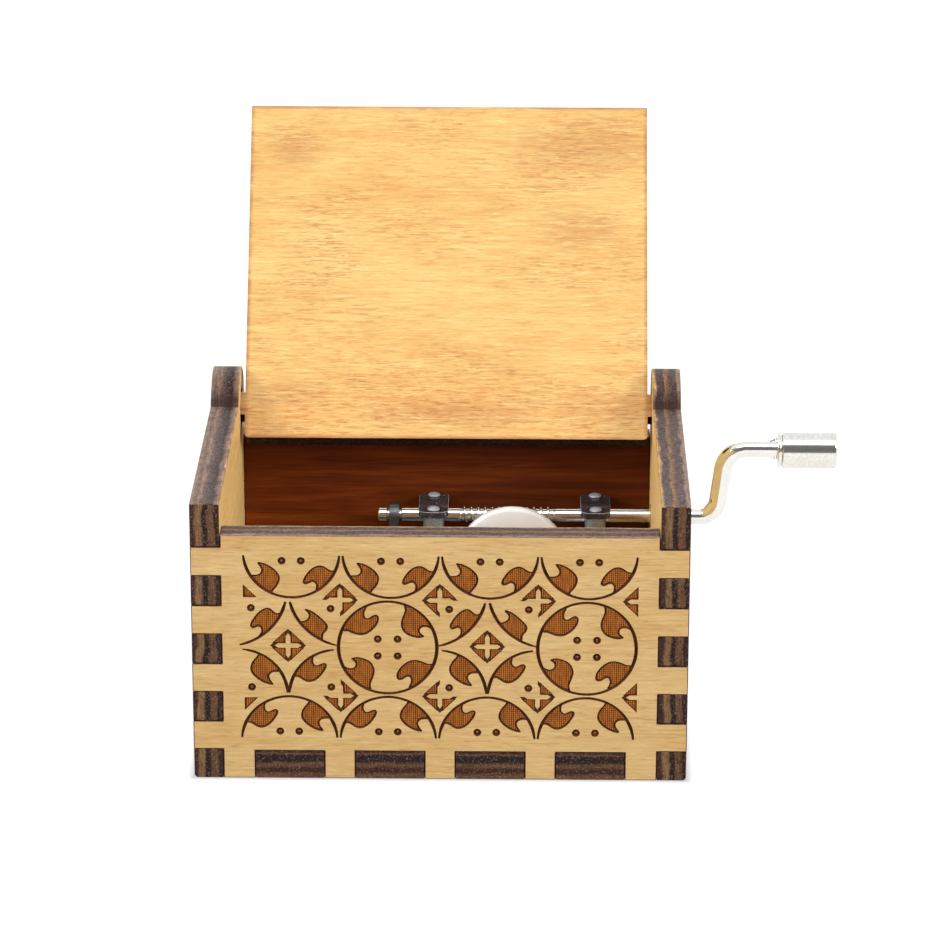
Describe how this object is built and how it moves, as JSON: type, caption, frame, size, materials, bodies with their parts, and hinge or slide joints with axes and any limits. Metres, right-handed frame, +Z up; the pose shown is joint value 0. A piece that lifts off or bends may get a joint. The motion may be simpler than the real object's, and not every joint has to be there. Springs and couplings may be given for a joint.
{
  "type": "hand crank music box",
  "caption": "Finger-jointed plywood music box with a hinged lid and an open crank-driven comb movement.",
  "frame": {"origin": "middle of the case's underside", "axes": "+Z up; +X towards the crank; the engraved front panel faces -Y and the lid hinges at +Y"},
  "size_m": [0.0855, 0.0714, 0.0726],
  "materials": {
    "birch_ply": "laser-cut birch plywood, burnt edges",
    "lid_ply": "stained birch plywood, satin",
    "dark_ply": "dark stained plywood",
    "zinc": "zinc-plated die casting",
    "comb_steel": "ground spring steel",
    "nickel": "nickel-plated steel",
    "dark_steel": "blackened steel",
    "brass": "polished brass",
    "nylon": "white moulded nylon",
    "clear_plastic": "clear moulded plastic"
  },
  "bodies": {
    "case": {"front_panel": "birch_ply", "back_panel": "dark_ply", "left_panel": "birch_ply", "right_panel": "birch_ply", "bottom_panel": "birch_ply", "bedplate": "zinc", "cylinder_bracket": "comb_steel", "comb": "comb_steel", "comb_screw_1": "nickel", "comb_screw_2": "nickel", "bracket_screw_1": "nickel", "bracket_screw_2": "nickel", "mounting_screw_1": "dark_steel", "mounting_screw_2": "dark_steel", "mounting_screw_3": "dark_steel", "bearing_cap_left": "clear_plastic", "bearing_cap_right": "clear_plastic", "cap_rivet_left_front": "nickel", "cap_rivet_left_rear": "nickel", "cap_rivet_right_front": "nickel", "cap_rivet_right_rear": "nickel", "shaft_clip": "dark_steel"},
    "lid": {"lid": "lid_ply"},
    "crank": {"worm_shaft": "nickel", "crank_rod": "nickel"},
    "knob": {"crank_knob": "nickel"},
    "cylinder": {"pinned_cylinder": "brass", "cylinder_disc_front": "brass", "cylinder_disc_rear": "brass", "cylinder_arbor": "nickel", "worm_wheel": "nylon"}
  },
  "joints": [
    {"name": "lid_hinge", "type": "hinge", "parent": "case", "child": "lid", "pos_m": [0, 0.0197, 0.0357], "axis": [-1, 0, 0], "range_deg": [-124, 76]},
    {"name": "crank_turn", "type": "hinge", "parent": "case", "child": "crank", "pos_m": [0, 0.0178, 0.0209], "axis": [1, 0, 0], "continuous": true},
    {"name": "cylinder_turn", "type": "hinge", "parent": "case", "child": "cylinder", "pos_m": [0.0092, -0.00025, 0.0155], "axis": [0, 1, 0], "continuous": true},
    {"name": "knob_spin", "type": "hinge", "parent": "crank", "child": "knob", "pos_m": [0.0496, 0.0178, 0.0308], "axis": [1, 0, 0], "continuous": true}
  ],
  "couplings": [
    {"joint": "cylinder_turn", "follows": "crank_turn", "ratio": -0.037037}
  ]
}
